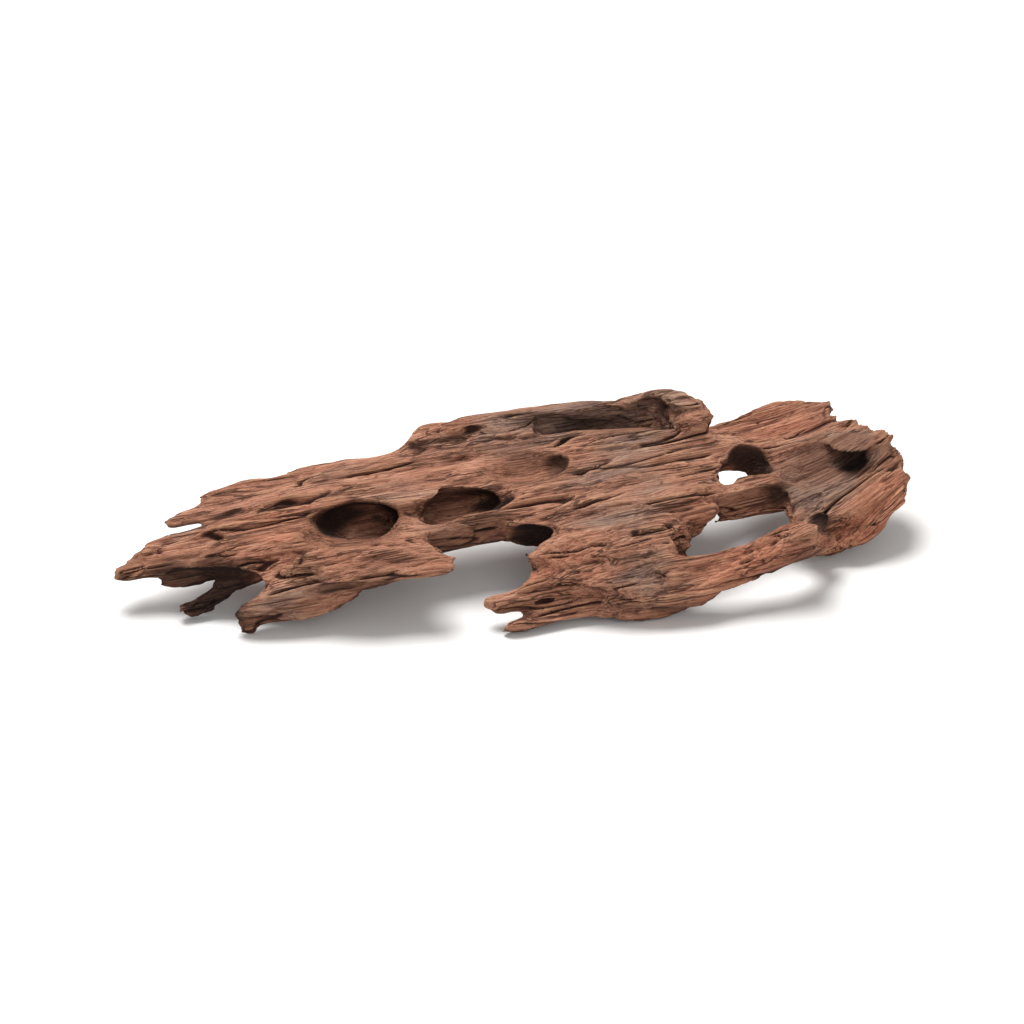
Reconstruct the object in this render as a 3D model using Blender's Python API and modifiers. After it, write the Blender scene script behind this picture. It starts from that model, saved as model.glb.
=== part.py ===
"""Dragon wood branch: one weathered piece of red-brown root wood that lies on a flat surface.

The wood grew as one body, so it is one solid. It is drawn as the wood itself splits: in fibre
strips that run along the grain, each a loft along a spine. The strips are fused into one skin,
the rot hollows are cut out of it, the grain is worn into ridges and grooves, and the ends are
left as splinters. The last steps flatten the feet that it stands on and thin out the mesh.
Tables are in millimetres: x to the right, y to the back, z up, with the ground at z = 0.
"""
import math

import bmesh
import bpy
import numpy as np
from mathutils import Matrix, Vector, noise

MM = 0.001

# Driving dimensions, in millimetres where they are lengths
SKIN_CELL = 1.4          # size of the cells that fuse the strips
WORN_CELL = 1.1          # size of the cells of the worn surface
RING_SIDES = 16          # corners of a strip's cross-section
RING_STEP = 3.0          # distance between two cross-sections along a spine
SQUARENESS = 2.6         # 2 is an ellipse, higher is boxier
GRAIN_BEND = (60, 130)   # the grain turns between these x, from the slab into the lobe
GRAIN_SLOPES = (0.13, 0.55)   # dy/dx of the grain to the left and to the right of the bend
SWELLS = (60, 9, 2.2)    # waves of the surface: length along the grain, width across it, height
GROOVES = (              # worn grooves: length along the grain, width of the ridges between, depth
    (85, 12, 2.4),
    (50, 7, 1.5),
)
SPLINTERS = (5.0, 3.4)   # how far fibres end before or beyond each other, and their width
TRIANGLES = 11400        # size of the finished mesh

# Each strip is a list of stations: x, y, top height, half width, thickness, tilt in degrees.
# A positive tilt raises the left side, seen along the spine.
STRIPS = {
    # The main slab, from its far edge to its near one
    "back_ridge": [
        (-98, 73, 41, 5, 8, 12), (-79, 74, 44, 7, 10, 12), (-57, 73, 47, 8, 11, 10),
        (-36, 79, 50, 9, 12, 8), (-14, 81, 52, 9, 12, 8), (12, 83, 52, 9, 13, 8),
        (38, 83, 51, 9, 14, 8), (73, 87, 50, 9, 14, 8), (103, 93, 46, 7, 12, 8),
    ],
    "upper_slab": [
        (-135, 60, 35.5, 5, 7, 15), (-117, 61, 39.5, 8, 9, 15), (-100, 61, 41.5, 9, 11, 12),
        (-78, 63, 44, 12, 12, 10), (-48, 69, 46, 12, 13, 8), (-14, 72, 48, 12, 14, 8),
        (21, 74, 48, 12, 14, 8), (56, 79, 47, 12, 14, 8), (101, 90, 44, 9, 13, 8),
    ],
    "mid_slab": [
        (-100, 54, 40, 8, 11, 12), (-74, 55, 42, 10, 14, 10), (-48, 59, 44, 10, 14, 8),
        (-27, 61, 44, 10, 14, 8), (-5, 63, 45, 11, 14, 8), (21, 63, 45, 11, 14, 8),
        (55, 68, 45, 11, 14, 8), (82, 76, 44, 9, 13, 8), (100, 83, 43, 5, 9, 8),
    ],
    "pith": [
        (-100, 40, 35, 10, 14, 14), (-85, 42, 37, 12, 17, 16), (-68, 43, 39, 13, 20, 16),
        (-45, 48, 40, 11, 18, 15), (-22, 52, 42, 10, 17, 15), (4, 58, 43, 10, 15, 12),
    ],
    "bridge": [
        (-48, 34, 34, 5, 12, 15), (-35, 37, 36, 4.5, 15, 15), (-22, 40, 37, 4, 17, 15),
        (-9, 45, 38, 5, 17, 15), (3, 47, 38.5, 7, 17, 14), (21, 51, 39.5, 9, 16, 12),
        (46, 56, 41, 10, 14, 10), (77, 64, 42, 8, 12, 10), (100, 75, 42, 2, 5, 10),
    ],
    "recess_wall": [
        (-33, 40, 33, 5, 13, 0), (-22, 43, 34, 5, 14, 0), (-5, 49, 34, 5, 14, 0),
        (6, 45, 34, 6, 17, 0), (18, 44, 33, 7, 18, 0), (34, 44, 32, 8, 16, 0),
    ],
    "front_slab": [
        (19, 39, 35, 7, 12, 20), (42, 42, 37, 9, 13, 15), (63, 47, 39, 9, 13, 15),
        (81, 56, 40, 6, 12, 12),
    ],
    "front_low": [
        (19, 34, 31, 5, 10, 20), (37, 35, 34, 7, 11, 15), (58, 39, 36, 8, 12, 15),
        (73, 44, 37, 7, 12, 10),
    ],
    # The left end, which splits into prongs
    "left_prong": [
        (-151, 53, 28, 3.5, 5, 10), (-142, 54.5, 30.5, 4.5, 6.5, 12), (-130, 55.5, 33.5, 5.5, 6.8, 12),
        (-117, 57, 37, 6, 9, 12), (-100, 57, 39, 8, 11, 12),
    ],
    "left_tip_back": [
        (-167, 33, 20, 4, 7, 12), (-161, 35, 21.5, 5.5, 7.5, 12), (-151, 38, 24.5, 7, 8, 15),
        (-140, 39.5, 27.5, 8, 10, 15), (-128, 40, 31, 8.5, 11, 15), (-107, 41, 36, 10, 12, 12), (-94, 43, 38, 9, 12, 12),
    ],
    "left_tip_front": [
        (-171, 25, 15, 4, 5, 18), (-153, 27, 21, 6, 7, 22), (-136, 28, 25, 8, 9, 25),
        (-119, 26, 29, 9, 11, 28), (-105, 24, 31, 10, 12, 25), (-89, 24, 33, 9, 12, 15),
    ],
    "left_face": [
        (-149, 29, 19, 4, 6, 40), (-136, 28, 20, 5, 8, 50), (-119, 26, 23, 5, 9, 55),
        (-108, 24, 25, 6, 10, 50),
    ],
    "left_under": [
        (-152, 25.5, 13, 2.5, 5, 20), (-143, 26, 14, 4, 6.5, 20), (-130, 28, 16, 4, 6.5, 10),
        (-115, 30, 19, 5, 7, 5),
    ],
    # The near rim of the left hollow and the ledge below it
    "hollow_rim": [
        (-98, 26, 34, 7, 12, 12), (-81, 24, 34, 7, 12, 20), (-64, 21, 34, 6, 12, 25),
        (-50, 25, 34, 7, 12, 25), (-38, 31, 34, 7, 13, 22),
    ],
    "hollow_bed": [
        (-96, 38, 30, 13, 15, 8), (-74, 40, 29, 18, 16, 8), (-50, 45, 29, 16, 16, 8),
        (-22, 55, 30, 11, 14, 8), (2, 62, 34, 11, 14, 8), (30, 66, 36, 11, 14, 8),
    ],
    "ledge": [
        (-82, 11, 28, 7, 9, 40), (-69, 11, 31, 10, 10, 42), (-55, 11, 32, 10, 10, 40),
        (-38, 13, 31, 8, 9, 38), (-22, 15, 29, 4.5, 7, 35),
    ],
    "ledge_back": [
        (-66, 16, 34, 7, 10, 20), (-47, 19, 33, 7, 10, 25), (-30, 24, 31, 5, 9, 30),
    ],
    # The front plate and its fingers
    "plate_top": [
        (4, 27, 25, 4, 8, 30), (12, 28, 29, 6, 9, 28), (24, 28, 30, 9, 10, 28),
        (45, 28, 33, 10, 11, 28), (68, 31, 35, 9, 11, 25),
    ],
    "plate_mid": [
        (6, 24, 20, 5, 8, 30), (18, 21, 23, 9, 10, 30), (37, 19, 25, 11, 11, 30),
        (54, 21, 26, 11, 12, 25), (70, 26, 28, 9, 12, 20),
    ],
    "plate_low": [
        (14, 18, 15, 6, 9, 30), (29, 18, 17, 9, 10, 30), (45, 18, 18, 11, 12, 30),
        (62, 18, 19, 10, 12, 25), (83, 22, 21, 9, 11, 20),
    ],
    "plate_edge": [
        (26, 15, 11, 5, 8, 30), (41, 16, 12, 9, 10, 30), (58, 17, 13, 9, 10, 25),
        (79, 21, 15, 8, 10, 20), (96, 27, 18, 6, 8, 15),
    ],
    "plate_foot": [
        (42, 15, 7, 4, 6, 35), (54, 17, 8, 6, 7, 30), (71, 19, 10, 6, 8, 20),
        (88, 24, 14, 5, 7, 10),
    ],
    "under_foot": [
        (50, 18, 3, 4, 6, 0), (62, 18, 5, 5, 8, 0), (76, 21, 8, 5, 7, 0),
    ],
    "finger_up": [
        (-8.5, 13.5, 13, 4, 7.5, 20), (0, 15, 15.5, 5.2, 8.5, 22), (9, 16.5, 18.5, 6, 9, 25),
    ],
    "finger_mid": [
        (3, 13, 10, 3, 5, 20), (12, 13, 12, 4, 7, 25), (20, 15, 13, 5, 8, 28),
    ],
    "finger_low": [
        (-4, 2, 5.5, 3, 9, 20), (5, 5, 7, 4, 9, 22), (18, 10, 9, 5, 7, 25),
        (33, 14, 11, 5, 8, 28),
    ],
    # The bar in front of the large hole, from its knot to its stub, and its low side, which joins
    # the lobe
    "front_bar": [
        (61, 16, 25, 4, 9, 25), (66, 17, 26, 6, 12, 25), (77, 22, 26, 7, 13, 26),
        (92, 27, 27, 7, 14, 26), (104, 30, 29, 7, 15, 25), (116, 34, 33, 7, 16, 25),
        (126, 37, 35, 7, 16, 20),
    ],
    "bar_low": [
        (79, 19, 20, 6, 10, 20), (96, 25, 22, 7, 12, 20), (112, 31, 24, 7, 13, 22),
        (124, 39, 24, 6.5, 13, 20), (131, 47, 22.5, 6.5, 12, 20), (139, 58, 20, 7, 11, 25),
    ],
    "hole_cheek": [
        (58, 36, 31, 8, 13, 10), (68, 38, 29, 7, 14, 5), (79, 43, 23, 4, 10, 0),
    ],
    # The near wall of the slab around the large hole, the arm behind the hole and its spike
    "hole_wall": [
        (84, 57, 39, 5, 12, 5), (78, 51, 35, 6, 14, 5), (73, 46, 31, 6, 14, 0),
        (70, 42, 27, 6, 12, 0),
    ],
    "arm": [
        (81, 57, 39, 5, 12, 15), (90, 63.5, 38, 6, 16, 15), (101, 69, 38, 5.5, 16, 15),
        (115, 77, 38.5, 6, 18, 15), (129, 86, 37, 8, 14, 15),
    ],
    "arm_back": [
        (80, 62, 31, 5, 6, 0), (91, 69, 29, 5, 6, 0), (103, 75, 30, 4, 7, 0),
    ],
    "arm_spike": [
        (80, 62, 19, 1.5, 3, 0), (91, 63, 24, 3, 6, 20), (104, 67, 28, 4, 9, 20),
        (117, 71, 29, 4.5, 10, 20), (128, 76, 30, 6, 10, 15),
    ],
    # The spoon-shaped lobe at the right end
    "lobe_face": [
        (130, 60, 11, 5, 12, 25), (138, 62, 14, 8.5, 14, 35), (153, 67, 19, 9.5, 10, 38),
        (164.5, 77, 26, 9, 10, 32), (171.5, 85, 28.5, 7, 10, 20),
    ],
    "lobe_end": [
        (161, 73, 24.5, 7, 11, 25), (170.5, 88, 30, 6.5, 12, 15), (171, 102, 35, 6, 13, 5),
        (165, 110, 39.5, 6, 13, 0), (154, 113, 42, 7, 13, -5),
    ],
    "lobe_inner": [
        (122, 61, 24, 4.5, 10, 15), (131, 65, 25, 6, 11, 18), (147, 71, 28, 8, 11, 20),
        (160, 80, 31, 7, 11, 15),
    ],
    "bowl_near": [
        (118, 71, 32, 6, 12, 12), (131, 75, 31, 9, 13, 12), (147, 82, 32, 10, 14, 12),
        (161, 89, 34, 8, 13, 10),
    ],
    "bowl_middle": [
        (112, 85, 38, 7, 12, 8), (128, 89, 35, 10, 15, 8), (147, 95, 35, 10, 16, 5),
        (163, 98, 37, 8, 14, 0),
    ],
    "lip": [
        (139, 98, 40, 2, 4, -10), (147, 99, 42, 4.5, 5, -10), (158, 100, 42.5, 6, 6, -5),
        (168, 103, 41, 6, 8, 0),
    ],
    "cavity_floor": [
        (102, 86, 27, 8, 7, 0), (114, 84, 28, 9, 8, 0), (126, 90, 30, 8, 10, 0),
    ],
    "crest": [
        (98, 91, 44, 6, 14, 5), (114, 96, 43, 6, 16, 5), (133, 104, 42, 9, 14, 5),
        (149, 108, 41, 9, 13, 0), (162, 105, 39, 7, 12, 0),
    ],
    "far_low": [
        (104, 104, 42, 7, 12, 10), (125, 115, 41, 8, 12, 10), (143, 121, 42.5, 7, 10, 8),
        (156, 123, 39.5, 4, 8, 8),
    ],
    "far_web": [
        (86, 98, 44, 6, 11, 0), (100, 103, 41, 8, 11, 5), (114, 107, 41, 7, 11, 5),
    ],
    "far_top": [
        (87, 104, 43.5, 6, 12, 12), (102, 115, 44, 8, 13, 12), (121, 127, 46.5, 8, 12, 12),
        (147, 134, 44, 6, 10, 12),
    ],
    # The log that lies along the far edge
    "back_log": [
        (-47, 81, 53, 4, 11, 10), (-38, 85, 57, 6, 14, 10), (-23, 88, 59, 6, 15, 10),
        (-5, 92, 61, 6, 18, 10), (21, 97, 63, 6, 22, 10), (47, 99, 65, 6, 20, 10),
        (68, 101, 66, 7, 20, 15), (82, 99, 63, 6, 18, 15), (91, 97, 59, 5, 15, 15),
    ],
    "log_belly": [
        (-30, 87, 50, 6, 11, 0), (-5, 91, 49, 7, 13, 0), (22, 97, 50, 8, 17, 0),
        (48, 102, 50, 8, 22, 0), (66, 104, 52, 8, 19, 0), (86, 99, 50, 6, 13, 0),
    ],
    "log_near": [
        (-30, 84, 53, 6, 12, 10), (0, 85, 56, 6, 12, 5), (10, 86, 57, 5, 12, 0),
    ],
    "log_knob": [
        (58, 100, 61, 2.5, 7, 25), (63, 97, 61, 5, 12, 25), (73, 93, 61, 7, 16, 30),
        (87, 91, 56, 6, 14, 25),
    ],
    # The root under the log that the far side stands on, and its fork
    "back_leg": [
        (80, 100, 46, 6, 14, 0), (62, 103, 41, 7, 17, 0), (44, 105, 30, 7, 17, 0),
        (30, 106, 19, 6, 16, 0), (19, 105, 9, 6, 13, 0), (8, 103, 4, 4, 8, 0),
    ],
    "back_leg_fork": [
        (58, 98, 38, 5, 14, 0), (45, 94, 27, 5, 13, 0), (35, 92, 15, 4, 11, 0),
        (27, 91, 5, 3.5, 9, 0),
    ],
    # The two legs under the left end
    "leg_crest": [
        (-104, 11, 22, 4, 8, 45), (-95, 13, 27, 6, 9, 45), (-82, 13, 30, 7, 9, 40),
    ],
    "leg_upper": [
        (-114, 2, 11, 4, 7, 50), (-106, 4, 14.5, 5.5, 9, 55), (-92, 7, 20, 9, 10, 60),
        (-78, 8, 24, 9, 10, 60), (-67, 8, 23, 4, 8, 60),
    ],
    "leg_lower": [
        (-115, 3, 7, 4, 7, 30), (-103, 5, 8, 4.5, 7.5, 50), (-89, 4, 8, 5, 8, 58),
        (-76, 8.5, 12.5, 5, 8, 60), (-61, 12, 19.5, 4, 6, 60), (-47, 13, 24, 3, 5, 55),
    ],
    "toe": [
        (-113, 3, 3.5, 2.5, 7, 0), (-105, 4, 3.5, 3, 7, 0),
    ],
    "leg_far": [
        (-141, 15, 8, 2.5, 5, 30), (-131, 15, 11, 4, 7, 40), (-119, 17, 16, 5, 8, 50),
        (-105, 20, 22, 5, 9.5, 50), (-95, 20, 26, 6, 12, 45),
    ],
    "leg_far_low": [
        (-137, 16, 4.5, 2, 4, 0), (-130, 17, 7, 3, 5, 25), (-120, 17.5, 11, 3, 6, 40),
    ],
}

# Each hollow is an ellipsoid: centre x, y, z, then half its length, half its width and half its
# height, then the heading of its length in degrees from +X and how far it dips that way.
HOLLOWS = {
    "left_pocket": (-67, 35.5, 39, 20.5, 13, 13, 10, 0),
    "left_pocket_under_rim": (-65, 45, 32, 18, 8, 7, 10, 0),
    "middle_pocket_left": (-32, 46.5, 41, 14, 4, 12, 12, 0),
    "middle_pocket_right": (-11, 51.5, 43, 14, 4.5, 12, 16, 0),
    "middle_pocket_under_rim": (-24, 54, 33.5, 18, 7, 6.5, 12, 0),
    "upper_hollow": (6, 67, 52, 21, 10, 11, 10, 0),
    "upper_hollow_end": (17, 71, 47, 7, 5, 5.5, 10, 0),
    "recess": (8, 39, 23, 12, 7, 9, 10, 0),
    "log_trough": (45, 90, 59.5, 33, 5, 9, 4, 0),
    "log_cave": (62, 92, 58, 8, 9, 7, 5, 0),
    "hole_cave": (116, 69, 30, 6, 5.5, 5, 30, 0),
    "crest_cavity": (105, 83.5, 41, 10, 7, 13, 25, 0),
    "tip_gap": (94, 77, 34.8, 19, 4.8, 4.6, 90, 30),
    "lobe_bowl": (136, 84, 47.5, 30, 16.5, 17.5, 26, 0),
    "under_lip": (149, 95, 36.5, 8.5, 6.5, 5.5, 15, 0),
    "stub_recess": (133, 54, 31, 4, 8, 7, 35, 0),
    "plate_dimple": (54, 8, 27, 9, 8, 8, 5, 0),
    "under_ledge": (-57, 6.5, 16.5, 16, 4, 4, 8, -22),
    "ledge_hole": (-81, 12, 29, 3.2, 2.2, 5, 5, 0),
    "prong_slot": (-116, 54, 40, 9, 2.4, 5, 8, 0),
    "prong_gap": (-138, 49.3, 29.5, 8, 1.6, 9, 10, 0),
}


def clear_scene():
    for thing in list(bpy.data.objects):
        bpy.data.objects.remove(thing)


def smooth_through(stations):
    """Stations along a smooth curve through the given ones, one about every RING_STEP."""
    rows = np.array(stations, float)
    padded = np.vstack([2 * rows[0] - rows[1], rows, 2 * rows[-1] - rows[-2]])
    path = []
    for a, b, c, d in zip(padded, padded[1:], padded[2:], padded[3:]):
        steps = max(2, round(np.linalg.norm(c[:3] - b[:3]) / RING_STEP))
        for t in np.arange(steps) / steps:
            path.append(0.5 * (2 * b + (c - a) * t + (2 * a - 5 * b + 4 * c - d) * t ** 2
                               + (3 * b - a - 3 * c + d) * t ** 3))
    return np.vstack([path, rows[-1]])


def strip(bm, stations):
    """Adds one fibre strip: a loft of rounded boxes along its spine, closed at both ends."""
    path = smooth_through(stations)
    angles = np.arange(RING_SIDES) * 2 * math.pi / RING_SIDES
    across = np.sign(np.cos(angles)) * abs(np.cos(angles)) ** (2 / SQUARENESS)
    upward = np.sign(np.sin(angles)) * abs(np.sin(angles)) ** (2 / SQUARENESS)
    rings = []
    for i, (x, y, top, half_width, thickness, tilt) in enumerate(path):
        before, after = path[max(i - 1, 0)], path[min(i + 1, len(path) - 1)]
        along = Vector(after[:3] - before[:3]).normalized()
        side = Vector((0, 0, 1)).cross(along).normalized()
        normal = along.cross(side)
        lean = math.radians(tilt)
        side, normal = (side * math.cos(lean) + normal * math.sin(lean),
                        normal * math.cos(lean) - side * math.sin(lean))
        centre = Vector((x, y, top)) - normal * thickness / 2
        rings.append([bm.verts.new((centre + side * (a * half_width) + normal * (u * thickness / 2)) * MM)
                      for a, u in zip(across, upward)])
    for ring, following in zip(rings, rings[1:]):
        for i in range(RING_SIDES):
            j = (i + 1) % RING_SIDES
            bm.faces.new((ring[i], ring[j], following[j], following[i]))
    bm.faces.new(rings[0])
    bm.faces.new(reversed(rings[-1]))


def mesh_object(name, bm, collection):
    mesh = bpy.data.meshes.new(name)
    bmesh.ops.recalc_face_normals(bm, faces=bm.faces)
    bm.to_mesh(mesh)
    bm.free()
    thing = bpy.data.objects.new(name, mesh)
    collection.objects.link(thing)
    return thing


def cutter(name, bm, collection):
    thing = mesh_object(name, bm, collection)
    thing.hide_render = True
    thing.display_type = "WIRE"
    return thing


def hollow_cutter(collection):
    """All rot hollows as one set of closed ellipsoids."""
    bm = bmesh.new()
    for x, y, z, length, width, height, heading, dip in HOLLOWS.values():
        place = (Matrix.Translation(Vector((x, y, z)) * MM)
                 @ Matrix.Rotation(math.radians(heading), 4, "Z")
                 @ Matrix.Rotation(math.radians(dip), 4, "Y")
                 @ Matrix.Diagonal(Vector((length, width, height, 1 / MM)) * MM))
        bmesh.ops.create_icosphere(bm, subdivisions=3, radius=1, matrix=place)
    return cutter("rot_hollows", bm, collection)


def ground_cutter(collection):
    """A slab of ground: what reaches into it becomes a flat foot."""
    bm = bmesh.new()
    place = Matrix.Translation((0, 0.07, -0.02)) @ Matrix.Diagonal((0.6, 0.4, 0.04, 1))
    bmesh.ops.create_cube(bm, size=1, matrix=place)
    return cutter("ground", bm, collection)


def apply_modifiers(thing):
    """Replaces an object's mesh with what its modifiers make of it."""
    graph = bpy.context.evaluated_depsgraph_get()
    finished = bpy.data.meshes.new_from_object(thing.evaluated_get(graph))
    thing.modifiers.clear()
    thing.data = finished


def reskin(thing, cell):
    fuse = thing.modifiers.new("one skin", "REMESH")
    fuse.mode = "VOXEL"
    fuse.voxel_size = cell * MM
    apply_modifiers(thing)


def cut(thing, tool):
    away = thing.modifiers.new("cut " + tool.name, "BOOLEAN")
    away.operation = "DIFFERENCE"
    away.solver = "EXACT"
    away.object = tool
    apply_modifiers(thing)


def grain_slope(x):
    """dy/dx of the grain at x: shallow along the slab, steeper in the lobe."""
    t = np.clip((x - GRAIN_BEND[0]) / (GRAIN_BEND[1] - GRAIN_BEND[0]), 0, 1)
    return GRAIN_SLOPES[0] + (GRAIN_SLOPES[1] - GRAIN_SLOPES[0]) * t * t * (3 - 2 * t)


def grain_line(x):
    """How far the fibre through the origin has moved in y when it reaches x."""
    steps = np.linspace(-200, 200, 401)
    height = np.concatenate([[0], np.cumsum(grain_slope(steps[1:] - 0.5))])
    return np.interp(x, steps, height - height[200])


def wear_the_grain(thing):
    """Raises ridges and sinks grooves along the fibres, and ends the fibres as splinters."""
    mesh = thing.data
    count = len(mesh.vertices)
    points = np.empty(count * 3)
    normals = np.empty(count * 3)
    mesh.vertices.foreach_get("co", points)
    mesh.vertices.foreach_get("normal", normals)
    points = points.reshape(-1, 3) / MM
    normals = normals.reshape(-1, 3)
    x, y, z = points.T
    across = y - grain_line(x)
    slope = grain_slope(x)
    along = np.stack([1 / np.hypot(1, slope), slope / np.hypot(1, slope), np.zeros(count)], 1)
    length, width, height = SWELLS
    relief = np.array([height * noise.noise(Vector((x[i] / length, across[i] / width, z[i] / width)))
                       for i in range(count)])
    for layer, (length, width, depth) in enumerate(GROOVES):
        for i in range(count):
            at = Vector((x[i] / length, across[i] / width, z[i] / width + 31 * layer + 13))
            relief[i] -= depth * max(0, 1 - abs(noise.noise(at)) / 0.3) ** 2
    shift, width = SPLINTERS
    slide = np.array([shift * noise.noise(Vector((x[i] / 60, across[i] / width, z[i] / width + 97)))
                      for i in range(count)])
    points += normals * relief[:, None] + along * slide[:, None]
    mesh.vertices.foreach_set("co", (points * MM).ravel())
    mesh.update()


def thin_out(thing):
    now = sum(len(face.vertices) - 2 for face in thing.data.polygons)
    fewer = thing.modifiers.new("fewer triangles", "DECIMATE")
    fewer.ratio = min(1, TRIANGLES / now)
    fewer.use_collapse_triangulate = True
    apply_modifiers(thing)


def stand_at_origin(thing):
    """Moves the mesh so that the origin is under the middle of it, on the ground."""
    mesh = thing.data
    points = np.empty(len(mesh.vertices) * 3)
    mesh.vertices.foreach_get("co", points)
    points = points.reshape(-1, 3)
    points[:, 2] -= points[:, 2].min()
    points[points[:, 2] < 0.15 * MM, 2] = 0
    middle = (points.min(0) + points.max(0)) / 2
    points[:, :2] -= middle[:2]
    mesh.vertices.foreach_set("co", points.ravel())
    mesh.update()
    return middle


def material(name, colour, roughness):
    surface = bpy.data.materials.new(name)
    surface.use_nodes = True
    shader = surface.node_tree.nodes["Principled BSDF"]
    shader.inputs["Base Color"].default_value = (*colour, 1)
    shader.inputs["Roughness"].default_value = roughness
    shader.inputs["Metallic"].default_value = 0
    return surface


def main():
    clear_scene()
    wood = bpy.data.collections.new("dragon_wood_branch")
    tools = bpy.data.collections.new("cutters")
    for collection in (wood, tools):
        bpy.context.scene.collection.children.link(collection)
    bm = bmesh.new()
    for stations in STRIPS.values():
        strip(bm, stations)
    branch = mesh_object("branch", bm, wood)
    reskin(branch, SKIN_CELL)
    hollows = hollow_cutter(tools)
    reskin(hollows, SKIN_CELL)
    cut(branch, hollows)
    reskin(branch, SKIN_CELL)
    wear_the_grain(branch)
    reskin(branch, WORN_CELL)
    cut(branch, ground_cutter(tools))
    thin_out(branch)
    middle = stand_at_origin(branch)
    branch.data.materials.clear()
    branch.data.materials.append(material("weathered_wood", (0.30, 0.13, 0.065), 0.85))
    branch.data.shade_smooth()
    return middle


MIDDLE = main()
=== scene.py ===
# %% [markdown]
# # A weathered branch of dragon wood
# The object is one piece of red-brown root wood that has lain outside for years: a long slab with
# rot hollows, an open loop and a spoon-shaped lobe at one end, and splintered prongs at the other.
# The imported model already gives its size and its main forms. This lesson grows the fine surface on
# top of it: fibres, grooves, cracks and broken ends, and a matt wood finish.

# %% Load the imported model
import math
from collections import Counter

import bmesh
import bpy
import numpy as np
from mathutils import Matrix, Vector, noise
from mathutils.bvhtree import BVHTree
from mathutils.kdtree import KDTree


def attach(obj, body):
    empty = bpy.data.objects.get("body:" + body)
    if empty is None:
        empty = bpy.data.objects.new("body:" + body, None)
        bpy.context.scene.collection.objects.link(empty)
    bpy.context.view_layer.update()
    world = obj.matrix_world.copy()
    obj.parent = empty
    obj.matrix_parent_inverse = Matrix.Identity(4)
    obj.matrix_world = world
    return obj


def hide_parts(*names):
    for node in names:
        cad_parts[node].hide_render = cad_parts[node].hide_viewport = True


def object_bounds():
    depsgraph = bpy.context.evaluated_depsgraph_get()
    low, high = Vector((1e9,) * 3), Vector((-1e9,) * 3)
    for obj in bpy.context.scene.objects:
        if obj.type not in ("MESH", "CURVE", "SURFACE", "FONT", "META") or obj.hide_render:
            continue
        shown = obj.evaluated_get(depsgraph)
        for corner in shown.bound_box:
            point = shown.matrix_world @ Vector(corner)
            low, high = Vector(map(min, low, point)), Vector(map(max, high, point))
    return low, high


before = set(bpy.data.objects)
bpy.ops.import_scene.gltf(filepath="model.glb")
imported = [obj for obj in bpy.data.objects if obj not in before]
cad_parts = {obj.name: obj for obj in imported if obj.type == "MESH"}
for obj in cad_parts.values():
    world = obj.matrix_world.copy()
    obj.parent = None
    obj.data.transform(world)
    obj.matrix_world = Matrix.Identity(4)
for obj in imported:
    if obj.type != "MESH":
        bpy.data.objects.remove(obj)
cad_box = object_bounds()
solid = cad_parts["branch"]
MM = 0.001
print("solid", [round((b - a) / MM, 1) for a, b in zip(*cad_box)], "mm")

# %% [markdown]
# ## The run of the grain
# Every feature of weathered wood follows its fibres, so the first thing to settle is which way
# they run. Here a fibre is a curve that starts at x = 0 and drifts in y and in z as x grows. The
# table gives that drift at a few places, and the curve is its running sum. Subtracting the curve
# straightens the fibres, which makes it easy to stretch a pattern along them.

# %% Fibre coordinates
GRAIN = np.array([    # x in mm, then how far a fibre moves in y and in z for each mm of x
    (-175, 0.02, 0.22),
    (-120, 0.10, 0.14),
    (-70, 0.22, 0.05),
    (0, 0.28, 0.01),
    (60, 0.32, 0.0),
    (105, 0.50, 0.0),
    (130, 0.60, 0.12),
    (145, 0.75, 0.28),
    (160, 0.95, 0.34),
    (175, 1.2, 0.30),
])
HALF_SPAN = 200       # mm of x on each side of the middle, a little more than the branch needs

fibre_x = np.arange(-HALF_SPAN, HALF_SPAN + 1.0)
fibre_slopes = np.stack([np.interp(fibre_x, GRAIN[:, 0], GRAIN[:, i]) for i in (1, 2)], 1)
fibre_curve = np.cumsum(fibre_slopes, 0)
fibre_curve -= fibre_curve[HALF_SPAN]     # the row for x = 0


def drift(x):
    """How far the fibres have moved in y and in z at x, in mm."""
    return np.stack([np.interp(x, fibre_x, fibre_curve[:, i]) for i in (0, 1)], 1)


def straighten(points):
    """Points in mm with the run of the fibres taken out: along, across and through them."""
    out = points.copy()
    out[:, 1:] -= drift(points[:, 0])
    return out


def bend_back(points):
    """Undoes straighten."""
    out = points.copy()
    out[:, 1:] += drift(points[:, 0])
    return out


def fibre_direction(x):
    """Unit vectors along the fibres at x."""
    slopes = [np.interp(x, fibre_x, fibre_slopes[:, i]) for i in (0, 1)]
    along = np.stack([np.ones_like(x)] + slopes, 1)
    return along / np.linalg.norm(along, axis=1)[:, None]


def ramp(values, low, high):
    """0 below low and 1 above high, smooth between."""
    t = np.clip((values - low) / (high - low), 0, 1)
    return t * t * (3 - 2 * t)


print("a fibre drifts", drift(GRAIN[[0, -1], 0]).round(1).tolist(), "mm to the two ends")

# %% [markdown]
# ## Hollows, lips and knots
# Rot has eaten round pockets into this wood, and broken ends have worn to blunt knobs. Both are
# close to an ellipsoid, so each is one row of a table, which is easier to adjust by eye than a
# sculpted mesh. All the rows of a table fuse into one lump, and a Boolean cuts or joins it.

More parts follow.
